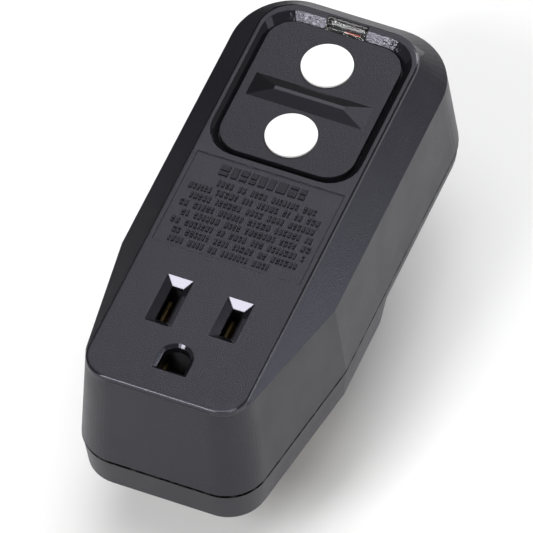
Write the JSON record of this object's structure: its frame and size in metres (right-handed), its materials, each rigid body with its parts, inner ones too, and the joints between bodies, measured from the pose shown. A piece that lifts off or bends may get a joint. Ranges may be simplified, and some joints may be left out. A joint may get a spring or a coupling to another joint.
{
  "type": "plug-in ground-fault interrupter",
  "caption": "Black plug-in ground-fault interrupter: grounded plug at the back, outlet in front, test and reset buttons on a recessed pad, and a small indicator window.",
  "frame": {"origin": "midway between the two plug blades, on the plane of the back face they come out of", "axes": "+X across the width (line side), +Y along the length towards the buttons, +Z out of the front face"},
  "size_m": [0.0468, 0.102, 0.0536],
  "materials": {
    "housing_plastic": "fine spark-eroded texture, near black",
    "cover_plastic": "fine texture, dark grey",
    "pad_plastic": "fine texture with a glossier ridge",
    "clear_plastic": "clear moulded plastic",
    "button_white": "smooth, slight gloss",
    "flag_red": "smooth",
    "natural_plastic": "natural moulded plastic",
    "block_plastic": "plain moulded plastic",
    "frame_plastic": "plain moulded plastic",
    "blade_brass": "stamped, lightly brushed",
    "contact_brass": "stamped strip",
    "screw_steel": "zinc plated",
    "plated_steel": "zinc plated",
    "spring_steel": "drawn wire",
    "board_laminate": "green coated glass laminate",
    "winding_enamel": "enamelled copper wire",
    "black_insulation": "wire insulation",
    "white_insulation": "wire insulation",
    "varistor_epoxy": "dipped epoxy",
    "capacitor_yellow": "moulded box",
    "capacitor_sleeve": "shrink sleeve",
    "chip_resin": "moulded resin",
    "resistor_body": "lacquered"
  },
  "bodies": {
    "housing": {"front_housing": "housing_plastic", "back_cover": "cover_plastic", "cover_screws": "screw_steel", "button_pad": "pad_plastic", "indicator_window": "clear_plastic", "blade_carrier": "natural_plastic", "line_blade": "blade_brass", "neutral_blade": "blade_brass", "ground_pin": "blade_brass", "contact_block": "block_plastic", "line_contact": "contact_brass", "neutral_contact": "contact_brass", "ground_contact": "contact_brass", "ground_strap": "contact_brass", "line_bus": "contact_brass", "neutral_bus": "contact_brass", "circuit_board": "board_laminate", "core_case": "natural_plastic", "sense_core": "winding_enamel", "neutral_core": "winding_enamel", "line_lead": "black_insulation", "neutral_lead": "white_insulation", "mechanism_frame": "frame_plastic", "line_terminals": "contact_brass", "neutral_terminals": "contact_brass", "solenoid_frame": "plated_steel", "solenoid_bobbin": "natural_plastic", "solenoid_coil": "winding_enamel", "plunger_spring": "spring_steel", "carriage_spring": "spring_steel", "test_contacts": "contact_brass", "test_spring": "spring_steel", "reset_spring": "spring_steel", "varistor": "varistor_epoxy", "film_capacitor": "capacitor_yellow", "storage_capacitor": "capacitor_sleeve", "controller_chip": "chip_resin", "thyristor": "chip_resin", "resistors": "resistor_body", "diodes": "chip_resin"},
    "carriage": {"contact_carriage": "frame_plastic", "moving_contacts": "contact_brass", "indicator_flag": "flag_red"},
    "latch": {"latch_plate": "plated_steel"},
    "plunger": {"plunger": "plated_steel"},
    "test_button": {"test_button": "button_white", "test_bridge": "contact_brass"},
    "reset_button": {"reset_button": "button_white", "reset_pin": "plated_steel"}
  },
  "joints": [
    {"name": "test_press", "type": "slide", "parent": "housing", "child": "test_button", "axis": [0, 0, -1], "range_m": [0, 0.0015], "stiffness_N_per_m": 60, "springref_m": -0.003, "deforming": ["test_spring"]},
    {"name": "reset_press", "type": "slide", "parent": "housing", "child": "reset_button", "axis": [0, 0, -1], "range_m": [0, 0.0015], "stiffness_N_per_m": 60, "springref_m": -0.003, "deforming": ["reset_spring"]},
    {"name": "carriage_drop", "type": "slide", "parent": "housing", "child": "carriage", "axis": [0, 0, 1], "range_m": [-0.002, 0], "deforming": ["carriage_spring"]},
    {"name": "latch_slide", "type": "slide", "parent": "carriage", "child": "latch", "axis": [0, 1, 0], "range_m": [0, 0.0016]},
    {"name": "plunger_slide", "type": "slide", "parent": "housing", "child": "plunger", "axis": [0, 1, 0], "range_m": [0, 0.0016], "deforming": ["plunger_spring"]}
  ],
  "couplings": [
    {"joint": "latch_slide", "follows": "carriage_drop", "ratio": -0.8},
    {"joint": "plunger_slide", "follows": "carriage_drop", "ratio": -0.8}
  ]
}
